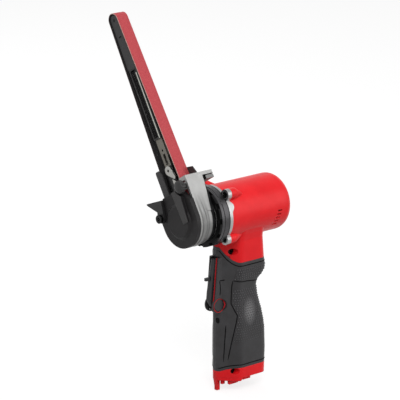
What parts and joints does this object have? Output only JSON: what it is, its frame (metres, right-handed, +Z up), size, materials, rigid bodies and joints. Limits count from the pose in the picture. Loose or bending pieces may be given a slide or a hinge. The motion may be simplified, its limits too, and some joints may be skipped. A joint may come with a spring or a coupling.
{
  "type": "power file",
  "caption": "Cordless belt file: pistol grip with motor barrel, planetary drive, swinging head, sprung belt arm, tip roller, trigger, direction button and battery socket.",
  "frame": {"origin": "centre of the battery socket's mouth on the handle axis", "axes": "+Z up the handle to the motor axis, +X back along the motor axis away from the belt head, +Y to the side the arm leans to"},
  "size_m": [0.122, 0.136, 0.3462],
  "materials": {
    "red_shell": "satin",
    "grip_rubber": "textured",
    "cast_aluminium": "satin",
    "black_metal": "gloss black",
    "steel": "machined",
    "copper": "enamelled wire",
    "dark_plastic": "fine texture",
    "pulley_rubber": "grooved",
    "dark_metal": "matte",
    "board": "coated",
    "abrasive_cloth": "abrasive grit"
  },
  "bodies": {
    "handle": {"housing_left": "red_shell", "housing_right": "red_shell", "grip_left": "grip_rubber", "grip_right": "grip_rubber", "gearcase": "cast_aluminium", "index_collar": "black_metal", "ring_gear": "steel", "motor_plate": "steel", "stator_core": "steel", "stator_windings": "copper", "rear_bearing": "steel", "front_bearing": "steel", "spindle_bearing": "steel", "head_clip": "steel", "switch_body": "dark_plastic", "control_board": "board", "battery_contacts": "dark_plastic", "housing_screws": "steel", "gearcase_screws": "steel", "charge_gauge": "dark_plastic", "trigger_spring": "steel"},
    "rotor": {"motor_shaft": "steel", "rotor_core": "steel", "cooling_fan": "dark_plastic"},
    "drive": {"planet_carrier": "steel", "drive_pulley": "pulley_rubber", "pulley_screw": "steel"},
    "planet_one": {"planet_gear_1": "steel"},
    "planet_two": {"planet_gear_2": "steel"},
    "planet_three": {"planet_gear_3": "steel"},
    "head": {"head_frame": "cast_aluminium", "pulley_cover": "dark_plastic", "cover_screw": "black_metal", "belt_guard": "black_metal", "arm_base": "black_metal", "pivot_ear": "cast_aluminium", "tension_spring": "steel", "abrasive_belt": "abrasive_cloth"},
    "arm": {"arm_channel": "black_metal", "platen": "cast_aluminium", "slide_plate": "steel", "tip_carrier": "dark_metal", "roller_pin": "steel"},
    "tip": {"tip_roller": "steel"},
    "knob": {"tracking_knob": "dark_plastic"},
    "lever": {"tension_lever": "dark_plastic"},
    "latch": {"head_latch": "cast_aluminium"},
    "trigger": {"trigger": "dark_plastic"},
    "lock": {"trigger_lock": "dark_plastic"},
    "button": {"direction_button": "dark_plastic"}
  },
  "joints": [
    {"name": "head_swing", "type": "hinge", "parent": "handle", "child": "head", "pos_m": [0, 0, 0.158], "axis": [1, 0, 0], "range_deg": [-59, 121]},
    {"name": "drive_spin", "type": "hinge", "parent": "handle", "child": "drive", "pos_m": [0, 0, 0.158], "axis": [1, 0, 0], "continuous": true},
    {"name": "rotor_spin", "type": "hinge", "parent": "handle", "child": "rotor", "pos_m": [0, 0, 0.158], "axis": [1, 0, 0], "continuous": true},
    {"name": "tip_roller_spin", "type": "hinge", "parent": "arm", "child": "tip", "pos_m": [-0.0584, 0.10115, 0.32635], "axis": [1, 0, 0], "continuous": true},
    {"name": "arm_slide", "type": "slide", "parent": "head", "child": "arm", "axis": [0, 0.515, 0.8572], "range_m": [-0.006, 0], "stiffness_N_per_m": 600, "springref_m": 0.004, "deforming": ["tension_spring"]},
    {"name": "tension_lever_turn", "type": "hinge", "parent": "head", "child": "lever", "pos_m": [-0.073, 0.02298, 0.15644], "axis": [1, 0, 0], "range_deg": [-25.1, 0]},
    {"name": "tracking_knob_turn", "type": "hinge", "parent": "head", "child": "knob", "pos_m": [-0.075, -0.00276, 0.19186], "axis": [1, 0, 0], "range_deg": [-90, 90]},
    {"name": "head_latch_press", "type": "slide", "parent": "head", "child": "latch", "axis": [0, -0.515, -0.8572], "range_m": [0, 0.0024]},
    {"name": "trigger_pull", "type": "hinge", "parent": "handle", "child": "trigger", "pos_m": [-0.0255, 0, 0.113], "axis": [0, -1, 0], "range_deg": [0, 7], "stiffness_Nm_per_rad": 0.6, "springref_deg": -5.73, "deforming": ["trigger_spring"]},
    {"name": "trigger_lock_push", "type": "slide", "parent": "trigger", "child": "lock", "axis": [1, 0, 0], "range_m": [0, 0.0025], "stiffness_N_per_m": 100, "springref_m": -0.001},
    {"name": "direction_button_slide", "type": "slide", "parent": "handle", "child": "button", "axis": [0, 1, 0], "range_m": [-0.001, 0.001]},
    {"name": "planet_one_spin", "type": "hinge", "parent": "drive", "child": "planet_one", "pos_m": [-0.038, 0, 0.1472], "axis": [1, 0, 0], "continuous": true},
    {"name": "planet_two_spin", "type": "hinge", "parent": "drive", "child": "planet_two", "pos_m": [-0.038, 0.00935, 0.1634], "axis": [1, 0, 0], "continuous": true},
    {"name": "planet_three_spin", "type": "hinge", "parent": "drive", "child": "planet_three", "pos_m": [-0.038, -0.00935, 0.1634], "axis": [1, 0, 0], "continuous": true}
  ],
  "couplings": [
    {"joint": "rotor_spin", "follows": "drive_spin", "ratio": 4},
    {"joint": "tip_roller_spin", "follows": "drive_spin", "ratio": 2.1186},
    {"joint": "tension_lever_turn", "follows": "arm_slide", "rad_per_m": 72.7},
    {"joint": "planet_one_spin", "follows": "drive_spin", "ratio": -3},
    {"joint": "planet_two_spin", "follows": "drive_spin", "ratio": -3},
    {"joint": "planet_three_spin", "follows": "drive_spin", "ratio": -3}
  ]
}
